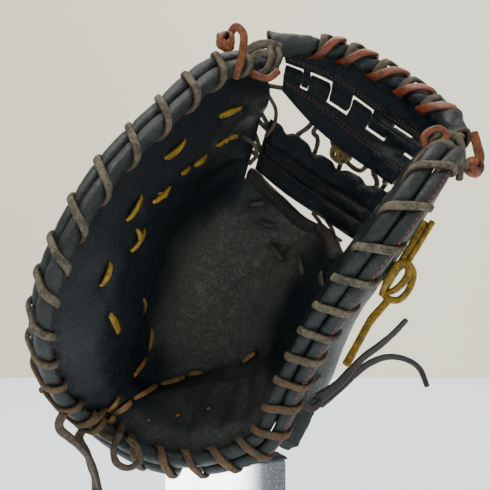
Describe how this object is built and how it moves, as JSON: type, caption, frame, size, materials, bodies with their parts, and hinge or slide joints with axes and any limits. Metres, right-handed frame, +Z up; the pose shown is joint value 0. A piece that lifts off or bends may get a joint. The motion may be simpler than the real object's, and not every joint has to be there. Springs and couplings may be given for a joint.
{
  "type": "first baseman mitt on display block",
  "caption": "Laced leather first baseman mitt with a deep pocket, hinged web and wrist strap, standing on its heel on a plain clear block.",
  "frame": {"origin": "centre of the bounding box at the foot of the display block", "axes": "+X from the finger side to the thumb side, +Y from the pocket towards the back, +Z up"},
  "size_m": [0.2602, 0.1772, 0.3731],
  "materials": {
    "navy_leather": "satin, worn",
    "worn_binding": "satin, worn grey",
    "rim_lace": "rawhide, worn",
    "orange_lace": "rawhide, worn",
    "yellow_lace": "rawhide, satin",
    "brown_lace": "rawhide, dry",
    "acrylic": "clear, polished",
    "felt": "fuzzy"
  },
  "bodies": {
    "root": {"palm_shell": "navy_leather", "finger_back_shell": "navy_leather", "thumb_back_shell": "navy_leather", "palm_binding": "worn_binding", "finger_back_binding": "worn_binding", "thumb_back_binding": "worn_binding", "finger_rim_lace": "rim_lace", "thumb_rim_lace": "rim_lace", "web_top_lace": "orange_lace", "web_top_lace_under": "rim_lace", "finger_lace_outer": "yellow_lace", "finger_lace_inner": "yellow_lace", "finger_crease_lace": "orange_lace", "heel_crease_lace": "orange_lace", "pocket_lace": "rim_lace", "web_side_tie_finger": "brown_lace", "web_side_tie_thumb": "brown_lace", "wrist_strap": "navy_leather", "web_top_roll": "worn_binding", "web_upper_band": "navy_leather", "web_lower_band": "navy_leather", "web_cross_band": "navy_leather", "web_base_roll": "worn_binding", "web_back_tie": "yellow_lace", "finger_knot": "orange_lace", "thumb_knot": "orange_lace", "thumb_back_knot": "yellow_lace", "wrist_lace_knot": "brown_lace", "heel_loop_lace": "rim_lace", "wrist_tail_up": "brown_lace", "wrist_tail_down": "brown_lace", "yellow_tail": "yellow_lace", "heel_tail_left": "brown_lace", "heel_tail_right": "brown_lace", "display_pad": "felt", "display_block": "acrylic"}
  },
  "joints": []
}
